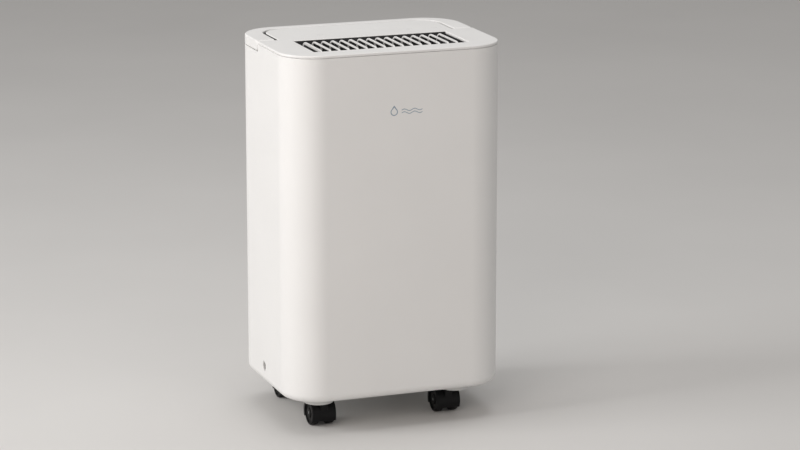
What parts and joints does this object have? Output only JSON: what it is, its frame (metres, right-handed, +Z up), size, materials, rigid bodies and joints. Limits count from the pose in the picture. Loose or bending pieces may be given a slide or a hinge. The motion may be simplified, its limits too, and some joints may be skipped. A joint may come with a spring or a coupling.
{
  "type": "dehumidifier",
  "caption": "Compact upright dehumidifier: round-cornered casing on swivel casters, finned top air outlet, fold-up carry handle, rear water tank and air filter.",
  "frame": {"origin": "on the floor under the middle of the casing", "axes": "+Z up, front of the casing at -Y, water tank and air inlet at +Y, +X to the right seen from the front"},
  "size_m": [0.264, 0.2, 0.442],
  "materials": {
    "shell": "fine satin",
    "shell_rear": "fine satin",
    "inner_plastic": "moulded",
    "dark_plastic": "moulded",
    "caster_plastic": "semi gloss",
    "wheel_tread": "smooth",
    "seal_rubber": "matt",
    "foot_rubber": "matt",
    "steel": "zinc plated",
    "black_steel": "satin black",
    "copper": "drawn copper tube",
    "fin_aluminium": "rolled",
    "board": "solder mask",
    "board_box": "moulded",
    "capacitor": "can",
    "clear_tank": "frosted translucent",
    "window": "clear",
    "filter_mesh": "woven mesh",
    "duct_plastic": "moulded"
  },
  "bodies": {
    "casing": {"front_cover": "shell", "rear_cover": "shell_rear", "top_cover": "shell", "base_pan": "inner_plastic", "chassis": "inner_plastic", "outlet_grille": "shell", "handle_pins": "steel", "handle_seal": "seal_rubber", "control_board": "board", "board_box": "board_box", "main_board": "board", "run_capacitor": "capacitor", "humidity_sensor": "inner_plastic", "level_sensor": "dark_plastic", "cable_gland": "dark_plastic", "drain_socket": "inner_plastic", "compressor": "black_steel", "compressor_feet": "foot_rubber", "compressor_bolts": "steel", "accumulator": "black_steel", "suction_pipe": "copper", "discharge_pipe": "copper", "capillary_tube": "copper", "evaporator_fins": "fin_aluminium", "evaporator_tubes": "copper", "condenser_fins": "fin_aluminium", "condenser_tubes": "copper", "drip_tray": "inner_plastic", "fan_scroll": "duct_plastic", "scroll_cover": "duct_plastic", "fan_motor": "steel", "cover_screws": "steel", "base_screws": "steel"},
    "handle": {"carry_handle": "shell"},
    "fan": {"fan_shaft": "steel", "fan_impeller": "dark_plastic"},
    "inlet_filter": {"inlet_grille": "shell_rear", "filter_frame": "dark_plastic", "filter_mesh": "filter_mesh"},
    "tank": {"water_tank": "clear_tank", "tank_lid": "inner_plastic", "tank_face": "shell_rear", "level_window": "window"},
    "float": {"tank_float": "inner_plastic"},
    "caster_fl": {"caster_fl": "caster_plastic", "axle_fl": "steel"},
    "wheel_fl_l": {"wheel_fl_l": "wheel_tread"},
    "wheel_fl_r": {"wheel_fl_r": "wheel_tread"},
    "caster_fr": {"caster_fr": "caster_plastic", "axle_fr": "steel"},
    "wheel_fr_l": {"wheel_fr_l": "wheel_tread"},
    "wheel_fr_r": {"wheel_fr_r": "wheel_tread"},
    "caster_rl": {"caster_rl": "caster_plastic", "axle_rl": "steel"},
    "wheel_rl_l": {"wheel_rl_l": "wheel_tread"},
    "wheel_rl_r": {"wheel_rl_r": "wheel_tread"},
    "caster_rr": {"caster_rr": "caster_plastic", "axle_rr": "steel"},
    "wheel_rr_l": {"wheel_rr_l": "wheel_tread"},
    "wheel_rr_r": {"wheel_rr_r": "wheel_tread"}
  },
  "joints": [
    {"name": "handle_hinge", "type": "hinge", "parent": "casing", "child": "handle", "pos_m": [0, 0.0215, 0.4361], "axis": [1, 0, 0], "range_deg": [0, 90]},
    {"name": "fan_spin", "type": "hinge", "parent": "casing", "child": "fan", "pos_m": [0, -0.033, 0.312], "axis": [0, 1, 0], "continuous": true},
    {"name": "filter_pull", "type": "slide", "parent": "casing", "child": "inlet_filter", "axis": [0, 1, 0], "range_m": [0, 0.04]},
    {"name": "tank_slide", "type": "slide", "parent": "casing", "child": "tank", "axis": [0, 1, 0], "range_m": [0, 0.1]},
    {"name": "float_hinge", "type": "hinge", "parent": "tank", "child": "float", "pos_m": [-0.055, 0.024, 0.18], "axis": [1, 0, 0], "range_deg": [0, 25]},
    {"name": "swivel_fl", "type": "hinge", "parent": "casing", "child": "caster_fl", "pos_m": [-0.082, -0.059, 0.03], "axis": [0, 0, 1], "continuous": true},
    {"name": "roll_fl_l", "type": "hinge", "parent": "caster_fl", "child": "wheel_fl_l", "pos_m": [-0.0915, -0.051, 0.0145], "axis": [1, 0, 0], "continuous": true},
    {"name": "roll_fl_r", "type": "hinge", "parent": "caster_fl", "child": "wheel_fl_r", "pos_m": [-0.0725, -0.051, 0.0145], "axis": [1, 0, 0], "continuous": true},
    {"name": "swivel_fr", "type": "hinge", "parent": "casing", "child": "caster_fr", "pos_m": [0.072, -0.059, 0.03], "axis": [0, 0, 1], "continuous": true},
    {"name": "roll_fr_l", "type": "hinge", "parent": "caster_fr", "child": "wheel_fr_l", "pos_m": [0.0625, -0.051, 0.0145], "axis": [1, 0, 0], "continuous": true},
    {"name": "roll_fr_r", "type": "hinge", "parent": "caster_fr", "child": "wheel_fr_r", "pos_m": [0.0815, -0.051, 0.0145], "axis": [1, 0, 0], "continuous": true},
    {"name": "swivel_rl", "type": "hinge", "parent": "casing", "child": "caster_rl", "pos_m": [-0.082, 0.059, 0.03], "axis": [0, 0, 1], "continuous": true},
    {"name": "roll_rl_l", "type": "hinge", "parent": "caster_rl", "child": "wheel_rl_l", "pos_m": [-0.0915, 0.067, 0.0145], "axis": [1, 0, 0], "continuous": true},
    {"name": "roll_rl_r", "type": "hinge", "parent": "caster_rl", "child": "wheel_rl_r", "pos_m": [-0.0725, 0.067, 0.0145], "axis": [1, 0, 0], "continuous": true},
    {"name": "swivel_rr", "type": "hinge", "parent": "casing", "child": "caster_rr", "pos_m": [0.072, 0.059, 0.03], "axis": [0, 0, 1], "continuous": true},
    {"name": "roll_rr_l", "type": "hinge", "parent": "caster_rr", "child": "wheel_rr_l", "pos_m": [0.0625, 0.067, 0.0145], "axis": [1, 0, 0], "continuous": true},
    {"name": "roll_rr_r", "type": "hinge", "parent": "caster_rr", "child": "wheel_rr_r", "pos_m": [0.0815, 0.067, 0.0145], "axis": [1, 0, 0], "continuous": true}
  ]
}
